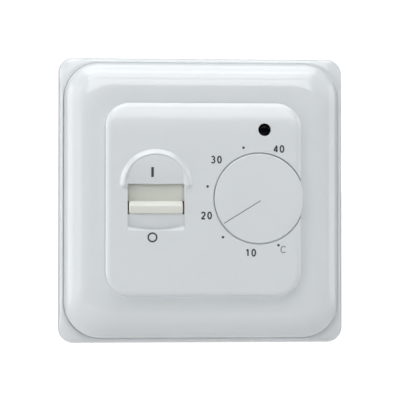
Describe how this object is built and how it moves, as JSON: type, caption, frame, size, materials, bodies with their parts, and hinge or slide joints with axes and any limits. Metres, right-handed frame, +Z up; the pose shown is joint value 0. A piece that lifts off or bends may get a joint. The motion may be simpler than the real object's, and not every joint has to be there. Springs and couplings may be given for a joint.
{
  "type": "wall thermostat",
  "caption": "Flush wall thermostat: square pillow frame, centre cover with a turning temperature dial, a slider power switch under a half-round hood, and an indicator hole.",
  "frame": {"origin": "centre of the wall plane, on the back of the wall frame and mounting plate", "axes": "-Y out into the room, +Y into the wall box, +Z up, +X to the right as seen from the room"},
  "size_m": [0.082, 0.036, 0.082],
  "materials": {
    "white_cover": "semi-gloss cool white moulded plastic",
    "white_trim": "high-gloss cool white moulded plastic",
    "cream_slider": "satin cream moulded plastic",
    "smoked_lens": "near-black smoked lens",
    "printed_grey": "thin printed ink",
    "grey_plastic": "fine-grained moulded plastic",
    "black_plastic": "moulded component plastic",
    "blue_plastic": "moulded plastic",
    "red_plastic": "moulded plastic",
    "circuit_board": "green solder mask on glass-fibre board",
    "zinc_steel": "zinc-plated steel",
    "brass_contact": "bright stamped brass",
    "film_yellow": "capacitor box plastic",
    "navy_sleeve": "shrink sleeve on an aluminium can",
    "blue_ceramic": "dipped epoxy coat on a ceramic disc",
    "resistor_body": "matt lacquered body",
    "fuse_brown": "moulded fuse cap",
    "led_red": "tinted clear epoxy"
  },
  "bodies": {
    "case": {"wall_frame": "white_trim", "trim_frame": "white_trim", "front_cover": "white_cover", "indicator_lens": "smoked_lens", "indicator_led": "led_red", "cover_screw": "zinc_steel", "mounting_plate": "zinc_steel", "chassis": "grey_plastic", "rear_housing": "grey_plastic", "housing_screw_1": "zinc_steel", "housing_screw_2": "zinc_steel", "housing_screw_3": "zinc_steel", "housing_screw_4": "zinc_steel", "control_board": "circuit_board", "control_chip": "black_plastic", "board_connector": "black_plastic", "potentiometer_body": "zinc_steel", "potentiometer_track": "black_plastic", "mains_switch_body": "black_plastic", "fixed_contact_left": "brass_contact", "fixed_contact_right": "brass_contact", "detent_spring": "zinc_steel", "power_board": "circuit_board", "relay": "black_plastic", "film_capacitor": "film_yellow", "electrolytic_capacitor": "navy_sleeve", "fuse": "fuse_brown", "varistor": "blue_ceramic", "dropper_resistor": "resistor_body", "terminal_block": "grey_plastic", "terminal_clamp_1": "brass_contact", "terminal_clamp_2": "brass_contact", "terminal_clamp_3": "brass_contact", "terminal_clamp_4": "brass_contact", "terminal_clamp_5": "brass_contact", "terminal_clamp_6": "brass_contact", "terminal_screw_1": "zinc_steel", "terminal_screw_2": "zinc_steel", "terminal_screw_3": "zinc_steel", "terminal_screw_4": "zinc_steel", "terminal_screw_5": "zinc_steel", "terminal_screw_6": "zinc_steel"},
    "slider": {"power_slider": "cream_slider", "switch_carriage": "white_cover", "contact_bridge": "brass_contact"},
    "dial": {"temperature_knob": "white_cover", "potentiometer_shaft": "white_cover", "potentiometer_wiper": "brass_contact"},
    "min_limit": {"min_limit_ring": "blue_plastic"},
    "max_limit": {"max_limit_ring": "red_plastic"}
  },
  "joints": [
    {"name": "power_slide", "type": "slide", "parent": "case", "child": "slider", "axis": [0, 0, 1], "range_m": [0, 0.0044]},
    {"name": "dial_turn", "type": "hinge", "parent": "case", "child": "dial", "pos_m": [0.01575, -0.013, 0.0003], "axis": [0, 1, 0], "range_deg": [-76, 140]},
    {"name": "min_limit_turn", "type": "hinge", "parent": "case", "child": "min_limit", "pos_m": [0.01575, -0.0096, 0.0003], "axis": [0, 1, 0], "range_deg": [-40, 120]},
    {"name": "max_limit_turn", "type": "hinge", "parent": "case", "child": "max_limit", "pos_m": [0.01575, -0.0096, 0.0003], "axis": [0, 1, 0], "range_deg": [-120, 40]}
  ]
}
